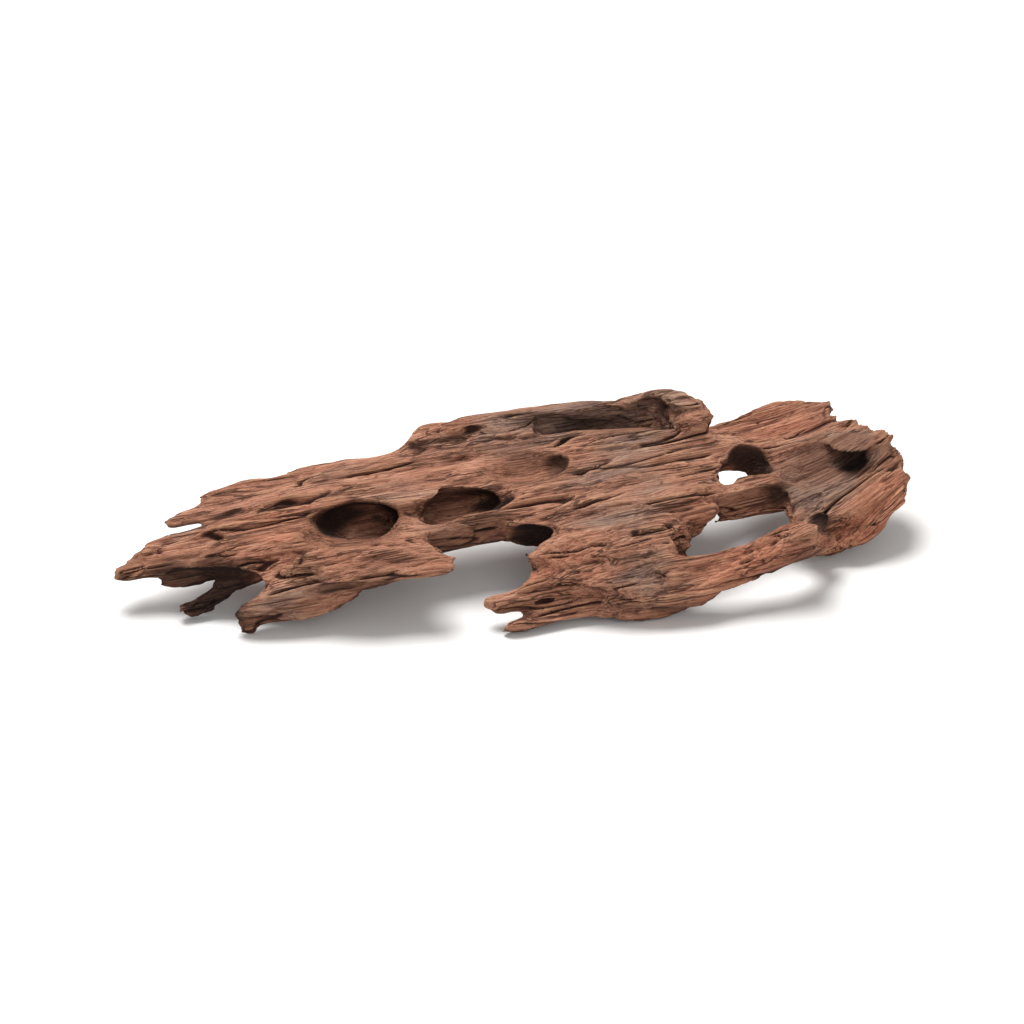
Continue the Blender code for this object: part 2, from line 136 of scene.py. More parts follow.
# %% Tables of ellipsoids
# centre x, y, z, half length, half width and half height in mm, its heading and its dip in
# degrees, and for a hollow how deep the painted shade in it is, from 0 to 1
HOLLOWS = {
    "left_pocket": (-73, -35.5, 39, 24, 14.5, 13, 10, 0, 0.3),
    "left_pocket_under_rim": (-70, -25, 32, 18, 8, 7, 10, 0, 1.0),
    "middle_pocket_left": (-37, -22.5, 42, 13, 2.8, 9, 12, 0, 1.0),
    "middle_pocket_right": (-16, -18.5, 43, 14, 4.2, 12, 16, 0, 1.0),
    "middle_pocket_under_rim": (-27, -15, 34, 17, 6, 6, 12, 0, 1.0),
    "upper_hollow": (1, -3, 50, 21, 10.5, 11, 10, 0, 0.55),
    "upper_hollow_end": (12, 1.5, 46.2, 7.5, 5, 6, 10, 0, 0.9),
    "recess": (3, -31, 23, 13, 8, 9.5, 10, 0, 1.0),
    "log_hollow": (40, 20, 60, 32, 5, 9, 4, 0, 0.05),
    "log_gap": (-30, 13.5, 51, 23, 1.5, 2.0, 10, -6, 0.9),
    "log_cave": (58, 22, 59, 8, 9, 7, 5, 0, 0.9),
    "lobe_bowl": (131, 14, 48, 30, 17, 17.5, 26, 0, 0.1),
    "under_lip": (144.5, 22, 36.5, 9, 6.5, 5.5, 12, 0, 1.0),
    "crest_cavity": (100.5, 15, 41, 10.5, 8.5, 13, 25, 0, 0.9),
    "stub_recess": (129.5, -10, 24, 4.8, 6.5, 5.5, 35, 0, 1.0),
    "hole_cave": (111, -1, 30, 6, 5.5, 5, 30, 0, 0.8),
    "under_ledge": (-71, -64.5, 21.2, 22, 5.5, 3.4, 2, -2, 1.0),
    "under_prong": (-132, -49.3, 19, 21, 5, 3.4, -10, -6, 1.0),
    "prong_crease": (-130, -19, 32.5, 10, 1.6, 3.5, 10, -8, 0.8),
    "heel_gap": (-105, -68, 9.5, 4, 3.5, 4, 40, 0, 0.7),
    "ledge_hole": (-85.5, -58, 31, 2.6, 1.8, 4, 5, 0, 0.6),
}
BLUNT_ENDS = {
    "finger": (-3, -55.5, 11, 10, 4.6, 4.4, 12, -14),
    "finger_end": (-9, -56.5, 9.5, 5.5, 4.8, 4.6, 12, -14),
    "finger_break": (-12.5, -56, 11.3, 3.5, 4.2, 4, 12, -14),
    "low_finger_end": (-2, -64.5, 4.2, 7, 3.4, 4, 15, -5),
    "left_tip": (-165.5, -42.5, 17.8, 7, 5.5, 4.6, 8, -12),
    "left_tip_back": (-160, -34, 20.5, 7, 5.5, 4.4, 8, -12),
    "upper_tip": (-148.5, -16.5, 27.5, 7, 3.6, 3.4, 8, -14),
    "far_leg_end": (-142, -54.5, 7, 5, 2.6, 2.6, 10, -30),
    "far_leg_toe": (-138, -54, 4, 5, 2.2, 2.2, 10, -25),
}
RIMS = {         # these stand in front of hollows, so they are joined after those are cut
    "lip_over_bowl": (146, 27.5, 40.8, 10, 7.6, 1.7, 14, 0),
    "lip_root": (150, 34, 40.2, 17, 7, 3, 10, 0),
    "bar_knot": (121, -31, 28, 5.5, 6, 7, 20, 0),
    "slab_edge": (38, 18, 49.3, 38, 5, 3.6, 5, 0),
}
LUMP_CELL = 0.8  # mm
WALL = 1.16      # in radii, how far from the middle of a hollow its wall still counts


def place_of(row):
    """The matrix that turns a ball of radius 1 into the ellipsoid of a row."""
    x, y, z, length, width, height, heading, dip, *_ = row
    return (Matrix.Translation(Vector((x, y, z)) * MM)
            @ Matrix.Rotation(math.radians(heading), 4, "Z")
            @ Matrix.Rotation(math.radians(dip), 4, "Y")
            @ Matrix.Diagonal(Vector((length, width, height, 1 / MM)) * MM))


def new_object(name, bm):
    """Turns a bmesh into an object of the scene."""
    mesh = bpy.data.meshes.new(name)
    bm.to_mesh(mesh)
    bm.free()
    thing = bpy.data.objects.new(name, mesh)
    bpy.context.scene.collection.objects.link(thing)
    return thing


def bake(thing):
    """Replaces an object's mesh with what its modifiers make of it."""
    graph = bpy.context.evaluated_depsgraph_get()
    made = bpy.data.meshes.new_from_object(thing.evaluated_get(graph))
    thing.modifiers.clear()
    thing.data = made
    return made


def combine(thing, name, table, operation):
    """Cuts all the ellipsoids of a table out of an object, or joins them to it."""
    bm = bmesh.new()
    for row in table.values():
        bmesh.ops.create_icosphere(bm, subdivisions=4, radius=1, matrix=place_of(row))
    tool = new_object(name, bm)
    fuse = tool.modifiers.new("one skin", "REMESH")
    fuse.mode = "VOXEL"
    fuse.voxel_size = LUMP_CELL * MM
    step = thing.modifiers.new(name, "BOOLEAN")
    step.operation = operation
    step.solver = "EXACT"
    step.object = tool
    bake(thing)
    bpy.data.objects.remove(tool)


def in_hollows(points):
    """For points in mm: 1 on the wall of a rot hollow and 0 elsewhere, and how much painted shade
    its hollow gets there.
    """
    most = np.zeros(len(points))
    dark = np.zeros(len(points))
    for row in HOLLOWS.values():
        back = np.array(place_of(row).inverted())
        local = points * MM @ back[:3, :3].T + back[:3, 3]
        wall = 1 - ramp(np.linalg.norm(local, axis=1), 1.0, WALL)
        most = np.maximum(most, wall)
        dark = np.maximum(dark, wall * row[-1])
    return most, dark


print(len(HOLLOWS), "hollows,", len(BLUNT_ENDS), "blunt ends,", len(RIMS), "rims")

# %% [markdown]
# ## A finer skin
# The solid's triangles are 2 to 3 mm long, too coarse for fibres. A voxel remesh gives even quads,
# but a grid fine enough for fibres would have millions. Fibres are long and thin, so the grid may
# be too: the mesh is straightened, squeezed along the grain, remeshed, and stretched back.

# %% Tools for the skin
SQUEEZE = 0.40   # a quad is 1 / SQUEEZE times longer along the grain than across it
WELD = 0.001     # mm; corners of the solid that are closer than this are one
STEP = 0.6       # share of the way to its neighbours' average that a vertex moves in one round


def read(mesh, what="co"):
    values = np.empty(len(mesh.vertices) * 3)
    mesh.vertices.foreach_get(what, values)
    return values.reshape(-1, 3)


def write(mesh, points):
    mesh.vertices.foreach_set("co", points.ravel())
    mesh.update()


def edges_of(mesh):
    edges = np.empty(len(mesh.edges) * 2, int)
    mesh.edges.foreach_get("vertices", edges)
    return edges.reshape(-1, 2)


def reskin(thing, cell):
    """Straightens and squeezes an object, and gives it an even skin of quads a cell wide."""
    squeezed = straighten(read(thing.data) / MM)
    squeezed[:, 0] *= SQUEEZE
    write(thing.data, squeezed * MM)
    skin = thing.modifiers.new("fine skin", "REMESH")
    skin.mode = "VOXEL"
    skin.voxel_size = cell * MM
    return bake(thing)


def stretch_back(mesh, squeezed):
    points = squeezed.copy()
    points[:, 0] /= SQUEEZE
    write(mesh, bend_back(points) * MM)


def drop_scraps(mesh):
    """Deletes every loose scrap, so that one closed body is left."""
    leader = list(range(len(mesh.vertices)))

    def first(i):
        while leader[i] != i:
            leader[i] = leader[leader[i]]
            i = leader[i]
        return i

    for a, b in edges_of(mesh).tolist():
        leader[first(a)] = first(b)
    bodies = [first(i) for i in range(len(leader))]
    sizes = Counter(bodies)
    largest = sizes.most_common(1)[0][0]
    bm = bmesh.new()
    bm.from_mesh(mesh)
    scraps = [vertex for vertex, body in zip(bm.verts, bodies) if body != largest]
    bmesh.ops.delete(bm, geom=scraps, context="VERTS")
    bm.to_mesh(mesh)
    bm.free()
    return len(sizes) - 1


class Neighbours:
    """The edges of a mesh, kept for averaging each vertex with its neighbours."""

    def __init__(self, mesh):
        a, b = edges_of(mesh).T
        self.ends = np.concatenate([a, b])
        self.others = np.concatenate([b, a])
        self.number = np.bincount(self.ends, minlength=len(mesh.vertices))

    def average(self, values):
        sums = [np.bincount(self.ends, column, len(self.number))
                for column in values[self.others].T]
        return np.stack(sums, 1) / self.number[:, None]

    def smooth(self, values, rounds, step, back=0):
        """Steps towards the average, and then back if thin parts mustn't shrink."""
        for _ in range(rounds):
            values = values + step * (self.average(values) - values)
            if back:
                values = values - back * (self.average(values) - values)
        return values


bm = bmesh.new()
bm.from_mesh(solid.data)
bmesh.ops.remove_doubles(bm, verts=bm.verts, dist=WELD * MM)
wood = new_object("branch_wood", bm)
print("copied", len(wood.data.vertices), "vertices")

# %% [markdown]
# ## A calm form first
# The solid has its own coarse waves and facets. Real fibres would be lost among them, so the first
# skin is smoothed hard across the grain and little along it. The thin prongs at the left keep most
# of their shape. The hollows are cut after that, because smoothing would round off their rims.

# %% Calm the form and cut the hollows
CALM_CELL = 1.0          # mm
CALM_ROUNDS = 70
CALM_BACK = 0.61         # the step back, a little more than STEP, so that the prongs stay thick
CALM_SHARES = np.array([0.25, 1, 1])     # how much counts along, across and through the grain
PRONGS_FROM = -100       # mm; left of this the smoothing fades
PRONGS_FADE = 20         # mm that it takes to fade
PRONGS_KEEP = 0.8        # share of their shape that the prongs keep

combine(wood, "blunt_ends", BLUNT_ENDS, "UNION")
mesh = reskin(wood, CALM_CELL)
rough = read(mesh) / MM
calm = Neighbours(mesh).smooth(rough, CALM_ROUNDS, STEP, CALM_BACK)
fade = np.clip((PRONGS_FROM * SQUEEZE - rough[:, 0]) / (PRONGS_FADE * SQUEEZE), 0, 1)
shares = (1 - PRONGS_KEEP * fade)[:, None] * CALM_SHARES
stretch_back(mesh, rough + (calm - rough) * shares)
print("calm form:", len(mesh.vertices), "vertices")
combine(wood, "rot_hollows", HOLLOWS, "DIFFERENCE")
combine(wood, "rims", RIMS, "UNION")

# %% [markdown]
# ## The skin that carries the fibres
# Before the fine remesh, the calm form is kept: the shelter of the hollows is measured on it. The
# fine skin then gets a few rounds of smoothing, which melt the steps that the Booleans left.

# %% Make the fine skin
CELL = 0.735     # width of a quad in mm, about the width of a bundle of fibres
MELT_ROUNDS = 8

coarse = read(wood.data) / MM
coarse_normals = read(wood.data, "normal")
coarse_faces = [face.vertices[:] for face in wood.data.polygons]
mesh = reskin(wood, CELL)
scraps = drop_scraps(mesh)
skin = Neighbours(mesh)
stretch_back(mesh, skin.smooth(read(mesh) / MM, MELT_ROUNDS, STEP, STEP))
points = read(mesh) / MM
normals = read(mesh, "normal")
count = len(points)
print("fine skin:", 2 * len(mesh.polygons), "triangles,", scraps, "scraps dropped")

# %% [markdown]
# ## Where the wood is sheltered
# Rain and sun reach the top and hardly the hollows, so hollows stay smooth while open wood is
# bleached and grooved; the finish also paints shade where the wood is sheltered. A vertex is
# sheltered when rays from it soon meet more wood. That is slow to find on the fine mesh, and it
# changes slowly, so it is found on the coarse one.

# %% Measure the shelter
RAYS = 40
REACH = 45       # mm
LIFT = 0.6       # mm, so that a ray doesn't meet the face that it starts on
FAR_WOOD = 0.6   # how much less wood shelters at the full reach than close by
BLEND = 3        # coarse vertices that a fine one takes its shelter from
SOFTEN = 0.5     # mm, so that a very near one doesn't count alone

level = (np.arange(RAYS) + 0.5) / RAYS
turn = np.arange(RAYS) * math.pi * (3 - math.sqrt(5))     # the golden angle spreads them evenly
spread = np.sqrt(level)
rays = np.stack([spread * np.cos(turn), spread * np.sin(turn), np.sqrt(1 - level)], 1)
wood_around = BVHTree.FromPolygons(coarse.tolist(), coarse_faces)
blocked = np.zeros(len(coarse))
nearest = KDTree(len(coarse))
for i, (place, normal) in enumerate(zip(coarse, coarse_normals)):
    nearest.insert(place, i)
    outward = np.array(Vector(normal).to_track_quat("Z", "Y").to_matrix())
    start = Vector(place + normal * LIFT)
    for ray in (rays @ outward.T).tolist():
        distance = wood_around.ray_cast(start, ray, REACH)[3]
        if distance is not None:
            blocked[i] += (1 - FAR_WOOD * distance / REACH) / RAYS
nearest.balance()
shelter = np.empty(count)
for i, place in enumerate(points.tolist()):
    around = nearest.find_n(place, BLEND)
    weights = [1 / (SOFTEN + distance) for _, _, distance in around]
    shelter[i] = sum(w * blocked[j] for w, (_, j, _) in zip(weights, around)) / sum(weights)
shelter = skin.smooth(shelter[:, None], rounds=6, step=0.5)[:, 0]
print("shelter from", shelter.min().round(2), "to", shelter.max().round(2))

# %% [markdown]
# ## Weathered relief
# Softer wood between the fibres wears away first. That leaves grooves of several widths, thin
# layers that have flaked off, and long narrow cracks where the wood shrank. Each is a noise drawn
# out along the fibres. A crack is the line where such a noise changes sign, and dividing by the
# noise's slope there turns its value into a distance, so a crack is as narrow as real ones are.

# %% Patterns along the grain
GROOVES = (      # length, width between ridges and depth in mm, and the seed of the noise
    (120, 8.0, 0.9, 3),
    (85, 4.2, 0.50, 20),
    (60, 2.2, 0.42, 37),
)
FLAKES = (       # length, width and height in mm of the layers that have split off, and the seed
    (70, 9.0, 0.55, 29),
    (45, 5.0, 0.35, 40),
)
CRACKS = (       # length, spacing, depth and half the opening in mm, and the seeds of two noises
    (90, 9.0, 2.2, 0.60, 51, 77),
    (50, 5.0, 1.4, 0.42, 74, 84),
)
FAR_LEG_GROOVES = (40, 3.5, 0.9, 7)      # length, width and depth in mm, and the seed
FAR_LEG_AXIS = Vector((-72, 3, -42))     # from the log down to the foot
GROOVE_SIDE = 0.32       # value of the noise at which a groove has risen to the ridge
GROOVE_SHARPNESS = 1.6   # above 1, a groove narrows towards its bottom
CRACK_SIDE = 1.25        # in openings, from the middle of a crack to its edge
WAVER = 1.6              # mm that the fibres swing from side to side
CALM_SHELTER = 0.65      # share of the relief that is missing in sheltered places,
CALM_ROT = 0.8           # in rot hollows,
CALM_BREAK = 0.6         # and on faces that cut across the fibres
NUDGE = 0.05             # in widths, the step aside that measures the slope of a noise
LEAST_SLOPE = 0.0001     # never quite zero, because a distance is divided by it

# where a thing begins and where it is complete
SHELTERED = (0.35, 0.65)         # share of the rays that are blocked
CUT_ACROSS = (0.5, 0.9)          # part of the normal that points along the fibres
FLAKED = (0.04, 0.10)            # value of the noise
CRACKED = (0.10, 0.30)
FAR_LEG_BEHIND = (18, 24)        # mm in y
FAR_LEG_ENDS = (26, 36)          # mm in z


def streaks(points, length, width, seed):
    """Noise from about -0.6 to 0.6, drawn out along the fibres; sizes in mm."""
    scaled = points / (length, width, width) + seed
    return np.array([noise.noise(place) for place in scaled.tolist()])


def distance_to_line(points, length, width, seed):
    """How far across the fibres, in mm, the nearest line is where the streaks change sign."""
    here = streaks(points, length, width, seed)
    step = NUDGE * width
    by_y = streaks(points + (0, step, 0), length, width, seed) - here
    by_z = streaks(points + (0, 0, step), length, width, seed) - here
    return abs(here) * step / (np.hypot(by_y, by_z) + LEAST_SLOPE)


def groove(wave):
    """1 in the bottom of a groove and 0 on the ridges, for values of the streaks."""
    return np.clip(1 - abs(wave) / GROOVE_SIDE, 0, 1) ** GROOVE_SHARPNESS


fibre = straighten(points)
along = fibre_direction(points[:, 0])
broken = ramp(abs((normals * along).sum(1)), *CUT_ACROSS)
rot, dark = in_hollows(points)
worn = (1 - CALM_SHELTER * ramp(shelter, *SHELTERED)) * (1 - CALM_ROT * rot)
wavy = fibre.copy()
wavy[:, 1] += WAVER * streaks(fibre, length=60, width=16, seed=5)
wavy[:, 2] += WAVER * streaks(fibre, length=60, width=16, seed=9)
relief = np.zeros(count)
for length, width, depth, seed in GROOVES:
    relief -= depth * groove(streaks(wavy, length, width, seed))
for length, width, height, seed in FLAKES:
    relief -= height * ramp(streaks(wavy, length, width, seed), *FLAKED)
crack = np.zeros(count)
for length, width, depth, opening, seed, seed_of_stretches in CRACKS:
    border = distance_to_line(wavy, length, width, seed)
    stretches = ramp(streaks(fibre, length=40, width=7, seed=seed_of_stretches), *CRACKED)
    line = np.clip(CRACK_SIDE - border / opening, 0, 1) * stretches
    crack = np.maximum(crack, line)
    relief -= depth * line
relief *= worn * (1 - CALM_BREAK * broken)
# the far leg's own fibres run down it, so there the slab's relief gives way to grooves along it
far_leg = ramp(points[:, 1], *FAR_LEG_BEHIND) * (1 - ramp(points[:, 2], *FAR_LEG_ENDS))
down_the_leg = np.array(FAR_LEG_AXIS.to_track_quat("X", "Z").to_matrix())
length, width, depth, seed = FAR_LEG_GROOVES
leg_relief = -depth * groove(streaks(points @ down_the_leg, length, width, seed))
relief += far_leg * (leg_relief - relief)
print("carved up to %.1f mm deep" % -relief.min())

# %% [markdown]
# ## Move the skin
# The relief moves each vertex along its normal. Low lumps and small pits go everywhere, also into
# the hollows. On faces that cut across the grain, fibres end at different lengths, which gives
# the splintered look of a break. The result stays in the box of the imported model.

# %% Carve the skin
LUMP_HEIGHT = 0.4        # mm
PIT_DEPTH = 1.2          # mm
PITS_FROM = 0.28         # value of the noise above which there is a pit
SPLINTERS = (            # length, width and how far fibre ends slide in mm, and the seed
    (40, 1.7, 1.2, 61),
    (60, 4.5, 2.2, 67),
)
MARGIN = 0.01            # mm, inside the box

relief += LUMP_HEIGHT * streaks(fibre, length=12, width=5, seed=31)
pits = streaks(points, length=1.6, width=1.3, seed=43) - PITS_FROM
relief -= PIT_DEPTH * np.clip(pits, 0, 1)
slide = np.zeros(count)
for length, width, reach, seed in SPLINTERS:
    slide += reach * streaks(fibre, length, width, seed)
slide *= broken
moved = points + normals * relief[:, None] + along * slide[:, None]
moved = skin.smooth(moved, rounds=1, step=0.25)
low, high = (np.array(corner) / MM for corner in cad_box)
moved = np.clip(moved, low + MARGIN, high - MARGIN)
write(mesh, moved * MM)
mesh.shade_smooth()
print("carved form", (moved.max(0) - moved.min(0)).round(1).tolist(), "mm")

# %% [markdown]
# ## What the finish needs to know
# The finish follows the fibres too, so the straightened coordinates are stored on the mesh. Next
# to them go the height of the carving, the cracks, the rot, where the wood has turned grey or
# stayed red, and the painted shade and shadow of hollows, overhangs and faces turned down. Values
# that don't change from pixel to pixel belong on the vertices: a shader would work them out again
# and again.

# %% Store the attributes
PATCHES = (      # centre x, y, z, radius in mm, and how grey (+) or red (-) the wood is there
    (45, 28, 62, 44, 0.8),
    (0, 24, 60, 34, 0.7),
    (135, 18, 36, 34, 0.8),
    (150, 22, 36, 24, 0.5),
    (50, -62, 25, 24, 0.6),
    (-95, -64, 20, 26, 0.45),
    (45, -20, 44, 40, 0.7),
    (130, 2, 33, 26, 0.8),
    (-60, -2, 45, 40, 0.3),
    (160, -5, 20, 45, -1.0),
    (-100, -40, 35, 40, -0.3),
    (90, -36, 22, 40, -0.6),
    (110, 50, 45, 34, -0.5),
    (20, -48, 20, 25, -0.3),
)
PAINTED_SHADOWS = (       # centre x, y, z, radius in mm, and how dark the painted shadow makes the wood there
    (-128, -53, 10, 24, 0.95),
    (-148, -46, 13, 15, 0.75),
    (-132, -44, 14, 14, 0.7),
    (-62, -64, 19, 15, 0.35),
    (-22, -32, 28, 26, 0.4),
    (130, -12, 22, 9, 0.8),
)
PATCH_CORE = 0.35        # share of its radius in which a patch has its full strength
PAINTED_SHADOW_CORE = 0.5
SHADE = 0.75             # how dark the painted shade makes fully sheltered wood
HOLLOW_SHADE_SPARED = 0.6       # how much of that painted shade a hollow is spared when its own shade value is low
HOLLOW_SHADE_SHELTER = (0.08, 0.32)       # the shelter at which the painted shade in hollows begins, and at which it is complete
# the shelter at which the painted shade of all sheltered wood begins, and at which it is complete
SHADE_DARKENS = (0.30, 0.70)
# how far a face turns down before painted shade darkens it, and where that is complete
FACING_DOWN = (0.1, 0.8)


def near(centre, radius, core):
    """1 within a share of the radius of a centre, and 0 beyond the radius."""
    distance = np.linalg.norm(moved - centre, axis=1)
    return 1 - ramp(distance, core * radius, radius)


greyness = sum(amount * near(place, radius, PATCH_CORE) for *place, radius, amount in PATCHES)
# painted shadow under the slab, the prongs and the ledge, on the far leg and in recesses
painted_shadow = np.max([amount * near(place, radius, PAINTED_SHADOW_CORE) for *place, radius, amount in PAINTED_SHADOWS], 0)
# painted shade in the sheltered hollows, as deep as each hollow's shade value
painted_hollow_shade = ramp(shelter, *HOLLOW_SHADE_SHELTER) * skin.smooth(dark[:, None], rounds=3, step=0.5)[:, 0]
# painted shade on all sheltered wood, lighter in hollows with a low shade value
shaded = ramp(shelter, *SHADE_DARKENS) * SHADE * (1 - HOLLOW_SHADE_SPARED * rot * (1 - dark))
# how far the carving stands out; the finish paints light on raised fibres and shade in grooves from
# it
height = ((moved - skin.smooth(moved, rounds=5, step=STEP)) * normals).sum(1)
attributes = {
    "height": height,
    "crack": crack * worn,
    "rot": rot,
    # faces turned down get painted shade
    "under": ramp(-normals[:, 2], *FACING_DOWN),
    # painted shade in hollows and on sheltered wood, and painted shadow
    "painted_shade_and_shadow": np.maximum(np.maximum(painted_hollow_shade, shaded), painted_shadow),
    "greyness": greyness,
}
for name, values in attributes.items():
    mesh.attributes.new(name, "FLOAT", "POINT").data.foreach_set("value", values)
    print("%-8s %6.2f to %.2f" % (name, values.min(), values.max()))
fibre_place = mesh.attributes.new("fibre", "FLOAT_VECTOR", "POINT")
fibre_place.data.foreach_set("vector", (straighten(moved) * MM).ravel())

# %% [markdown]
# ## Matt weathered root wood
# Dry wood scatters light like paper: no metal, an IOR of about 1.5, and a roughness near 0.85. The
# eye reads it by colour, and its patterns are noises drawn out along the fibres, as long and as
# wide as the real ones. A small function adds any node, so that the tree reads like a recipe.

# %% Start the finish
def linear(code):
    """An sRGB hex colour as linear red, green, blue and alpha."""
    channels = [int(code[i:i + 2], 16) / 255 for i in (1, 3, 5)]
    return (*[c / 12.92 if c <= 0.04045 else ((c + 0.055) / 1.055) ** 2.4 for c in channels], 1)


# dry root wood, never sealed: bleached and grooved outside, with painted shade in the rot hollows
finish = bpy.data.materials.new("weathered_root_wood")
finish.use_nodes = True
tree = finish.node_tree
shader = tree.nodes["Principled BSDF"]
shader.inputs["Roughness"].default_value = 0.86
shader.inputs["IOR"].default_value = 1.5
shader.inputs["Specular IOR Level"].default_value = 0.25


def add(kind, inputs, output=0, stops=(), **settings):
    """Adds a node with its settings, inputs and links, and returns one of its outputs."""
    node = tree.nodes.new("ShaderNode" + kind)
    for name, setting in settings.items():
        setattr(node, name, setting)
    for name, source in inputs.items():
        if isinstance(source, bpy.types.NodeSocket):
            tree.links.new(source, node.inputs[name])
        else:
            node.inputs[name].default_value = source
    for place, code in stops:
        node.color_ramp.elements.new(place).color = linear(code)
    if stops:
        node.color_ramp.elements.remove(node.color_ramp.elements[0])
        node.color_ramp.elements.remove(node.color_ramp.elements[-1])
    return node.outputs[output]


stored = {name: add("Attribute", {}, "Fac", attribute_name=name) for name in attributes}
fibre_socket = add("Attribute", {}, "Vector", attribute_name="fibre")
print("reading", len(stored) + 1, "attributes")

# %% [markdown]
# ## Patterns of the finish
# Broad bands of colour are a ridge wide, and single fibres are drawn about as coarse as a picture
# of the whole branch can show them. Hair cracks are found as the carved ones were: where a noise
# crosses its middle value, divided by its slope, which needs the noise twice more, a little aside.

# %% Noises along the fibres
PATTERNS = {     # length and width in mm, detail, roughness
    "bands": (80, 8, 3, 0.5),
    "fibres": (26, 0.75, 3, 0.65),
    "specks": (2.2, 1.0, 2, 0.5),
    "dust": (2.0, 0.9, 3, 0.5),
    "patches": (40, 12, 2, 0.5),
    "breaks": (28, 6, 1, 0.5),
}
HAIR_CRACKS = (  # length and spacing in mm, and half the opening
    (70, 3.2, 0.26),
    (45, 1.9, 0.20),
)
ASIDE = 0.06             # step aside, in widths
SIDES = ((0, 0, 0), (0, ASIDE, 0), (0, 0, ASIDE))
LEAST_CHANGE = 0.0004    # never quite zero, because a distance is divided by it
HAIR_CORE = 0.35         # share of the opening in which a hair crack is fully dark

patterns = {}
samples = [(name, (0, 0, 0), *row) for name, row in PATTERNS.items()]
for length, width, _ in HAIR_CRACKS:
    for side in SIDES:
        samples.append(((width, side), side, length, width, 0, 0.5))
for name, shift, length, width, detail, roughness in samples:
    scale = [1 / (size * MM) for size in (length, width, width)]
    place = add("Mapping", {"Vector": fibre_socket, "Scale": scale, "Location": shift})
    patterns[name] = add("TexNoise", {"Vector": place, "Scale": 1.0, "Detail": detail,
                                      "Roughness": roughness}, "Fac")

hair = 0.0
for length, width, opening in HAIR_CRACKS:
    here, by_y, by_z = (patterns[width, side] for side in SIDES)
    offset = add("Math", {0: here, 1: 0.5}, operation="SUBTRACT")
    offset = add("Math", {0: offset}, operation="ABSOLUTE")
    slope = LEAST_CHANGE
    for other in (by_y, by_z):
        change = add("Math", {0: other, 1: here}, operation="SUBTRACT")
        change = add("Math", {0: change}, operation="ABSOLUTE")
        slope = add("Math", {0: change, 1: slope}, operation="ADD")
    distance = add("Math", {0: offset, 1: slope}, operation="DIVIDE")
    opening /= ASIDE * width
    line = add("MapRange", {"Value": distance, "From Min": opening,
                            "From Max": HAIR_CORE * opening}, interpolation_type="SMOOTHSTEP")
    hair = add("Math", {0: line, 1: hair}, operation="MAXIMUM")
breaks = add("MapRange", {"Value": patterns["breaks"], "From Min": 0.50, "From Max": 0.62},
             interpolation_type="SMOOTHSTEP")
hair = add("Math", {0: hair, 1: breaks}, operation="MULTIPLY")
print(len(samples), "noises")

# %% [markdown]
# ## Colours of the wood
# Fresh breaks and raised fibres are orange-tan, the rest is red-brown, and sun has bleached some
# of it grey. One tone, made of bands and fibres, runs through three colour ramps, which are mixed
# by the patches. Then each kind of wear, and painted light on ridges and painted shade in grooves
# and on faces turned down, lays its own colour over the last, as thin glazes would.

# %% Mix the colours
BAND_SHARE = 0.35        # of the tone; single fibres make the rest
TONES = (0.38, 0.46, 0.54, 0.64)
COLOURS = (              # from the darkest tone to the lightest
    ("#724936", "#a06c55", "#b88067", "#d09f84"),     # brown
    ("#7c4533", "#aa6a52", "#c17f62", "#d89a7b"),     # red
    ("#5a4236", "#82665a", "#9a7c6c", "#b39480"),     # grey
)
PATCH_CONTRAST = 2.2     # of the small patches that break up the large ones
DEEPEST_PAINTED_SHADE = 0.95           # share of its colour that wood loses under the deepest painted shade and shadow
A, B, RESULT = 6, 7, 2   # the colours that a Mix node reads, and its output of colour

tone = add("Math", {0: patterns["bands"], 1: BAND_SHARE}, operation="MULTIPLY")
tone = add("Math", {0: patterns["fibres"], 1: 1 - BAND_SHARE, 2: tone}, operation="MULTIPLY_ADD")
brown, red, grey = (add("ValToRGB", {"Fac": tone}, stops=list(zip(TONES, codes)))
                    for codes in COLOURS)
old_rot = add("Mix", {0: patterns["fibres"], A: linear("#6d4433"), B: linear("#a87358")}, RESULT,
              data_type="RGBA")
patchy = add("Math", {0: patterns["patches"], 1: PATCH_CONTRAST, 2: -PATCH_CONTRAST / 2},
             operation="MULTIPLY_ADD")
patchy = add("Math", {0: stored["greyness"], 1: patchy}, operation="ADD")

GLAZES = (       # what it follows, from which value to which, how strong, and its colour
    (patchy, 0.1, 1.1, 1.0, grey),
    (patchy, -0.05, -0.9, 1.0, red),
    # raised fibres lighter: partly worn-pale wood, partly painted light
    (stored["height"], 0.03, 0.35, 0.45, linear("#c4936f")),
    # grooves darker: painted shade
    (stored["height"], -0.03, -0.40, 0.6, linear("#57352a")),
    (patterns["specks"], 0.60, 0.75, 0.45, linear("#4d3023")),
    (hair, 0.0, 1.0, 0.7, linear("#3a2018")),
    (stored["crack"], 0.2, 0.9, 0.85, linear("#2b1812")),
    (stored["rot"], 0.0, 1.0, 0.5, old_rot),
    # faces turned down darker: painted shade
    (stored["under"], 0.0, 1.0, 0.7, linear("#3a241d")),
)
colour = brown
for source, start, end, strength, glaze in GLAZES:
    amount = add("MapRange", {"Value": source, "From Min": start, "From Max": end,
                              "To Max": strength}, interpolation_type="SMOOTHSTEP")
    colour = add("Mix", {0: amount, A: colour, B: glaze}, RESULT, data_type="RGBA")
# painted shade and shadow take the colour nearly to black-brown
amount = add("Math", {0: stored["painted_shade_and_shadow"], 1: DEEPEST_PAINTED_SHADE}, operation="MULTIPLY")
colour = add("Mix", {0: amount, A: colour, B: linear("#190c09")}, RESULT, data_type="RGBA")
tree.links.new(colour, shader.inputs["Base Color"])
print(len(GLAZES) + 1, "glazes")

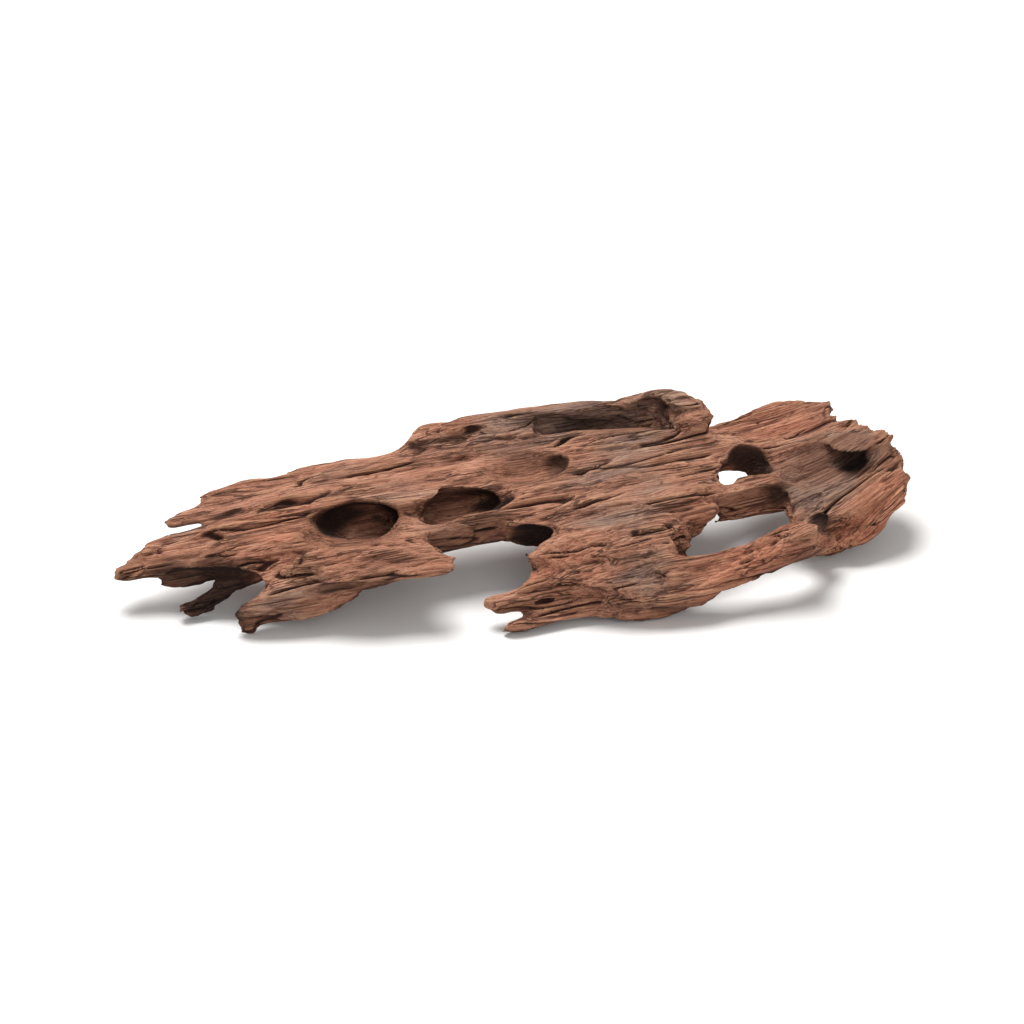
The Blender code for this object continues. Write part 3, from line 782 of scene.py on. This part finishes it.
# %% [markdown]
# ## The last half millimetre
# The mesh holds every groove that is wider than its cells. Single fibres and dust are finer, so
# only those are left to bump, which bends the light and not the form.

# %% Bump
FIBRE_RELIEF = 2.2       # mm, for the full range of a noise, which fibres use a third of
DUST_SHARE = 0.25        # of the relief; single fibres make the rest
HAIR_DEPTH = 0.35        # of the relief

fine = add("Math", {0: patterns["dust"], 1: DUST_SHARE}, operation="MULTIPLY")
fine = add("Math", {0: patterns["fibres"], 1: 1 - DUST_SHARE, 2: fine}, operation="MULTIPLY_ADD")
fine = add("Math", {0: hair, 1: -HAIR_DEPTH, 2: fine}, operation="MULTIPLY_ADD")
bump = add("Bump", {"Height": fine, "Strength": 1.0, "Distance": FIBRE_RELIEF * MM})
tree.links.new(bump, shader.inputs["Normal"])
mesh.materials.clear()
mesh.materials.append(finish)
print("nodes in the finish:", len(tree.nodes))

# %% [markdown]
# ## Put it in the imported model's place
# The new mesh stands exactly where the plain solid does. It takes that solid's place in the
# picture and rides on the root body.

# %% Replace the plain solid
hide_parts("branch")
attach(wood, "root")
print("dressed", wood.name)

# %% [markdown]
# ## Floor
# A studio picture of a small object needs a plain floor that fills the view. A matt white sheet
# much larger than the branch does that, and shows its shadow.

# %% Floor
FLOOR_HALF = 4           # metres

bm = bmesh.new()
bmesh.ops.create_grid(bm, x_segments=1, y_segments=1, size=FLOOR_HALF)
floor = new_object("floor", bm)
# plain matt paper
paper = bpy.data.materials.new("white_paper")
paper.use_nodes = True
sheet = paper.node_tree.nodes["Principled BSDF"]
sheet.inputs["Base Color"].default_value = linear("#f4f2f0")
sheet.inputs["Roughness"].default_value = 0.9
floor.data.materials.append(paper)
print("floor", 2 * FLOOR_HALF, "m wide")

# %% [markdown]
# ## Light
# The light falls from above and a little from behind, so the tops are bright, the faces turned
# to the viewer are darker, and the hollows go deep. A broad lamp keeps its shadows soft, a weak
# second one opens them, and a pale sky fills the rest.

# %% Light
SKY = 0.45
LAMPS = {        # place in metres, size in metres, power in watts
    "key": ((-0.25, 0.40, 1.2), 0.8, 20),
    "fill": ((0.5, -1.2, 0.9), 0.9, 3),
}
AIM = Vector((0, 0, 0.02))

world = bpy.data.worlds.new("studio")
bpy.context.scene.world = world
world.use_nodes = True
world.node_tree.nodes["Background"].inputs["Color"].default_value = linear("#ffffff")
world.node_tree.nodes["Background"].inputs["Strength"].default_value = SKY
for name, (place, size, power) in LAMPS.items():
    lamp = bpy.data.lights.new(name, "AREA")
    lamp.shape = "DISK"
    lamp.size = size
    lamp.energy = power
    holder = bpy.data.objects.new(name, lamp)
    holder.location = place
    holder.rotation_euler = (AIM - Vector(place)).to_track_quat("-Z", "Y").to_euler()
    bpy.context.scene.collection.objects.link(holder)
print(len(LAMPS), "lamps")

# %% [markdown]
# ## Camera
# The branch is seen from the front and from 30 degrees above, through a long lens from about a
# metre away, which keeps its far end from looking small.

# %% Camera
VIEW_DISTANCE = 1.1      # metres
VIEW_HEIGHT = math.radians(30)
VIEW_CENTRE = Vector((-0.00479, -0.00530, 0.025))
LENS = 88.95             # mm
SENSOR = 36              # mm wide

camera = bpy.data.cameras.new("camera")
camera.lens = LENS
camera.sensor_width = SENSOR
stand = bpy.data.objects.new("camera", camera)
back = Vector((0, -math.cos(VIEW_HEIGHT), math.sin(VIEW_HEIGHT)))
stand.location = VIEW_CENTRE + back * VIEW_DISTANCE
stand.rotation_euler = back.to_track_quat("Z", "Y").to_euler()
bpy.context.scene.collection.objects.link(stand)
bpy.context.scene.camera = stand
bpy.context.scene.view_settings.view_transform = "Standard"
print("camera at", [round(c, 3) for c in stand.location])
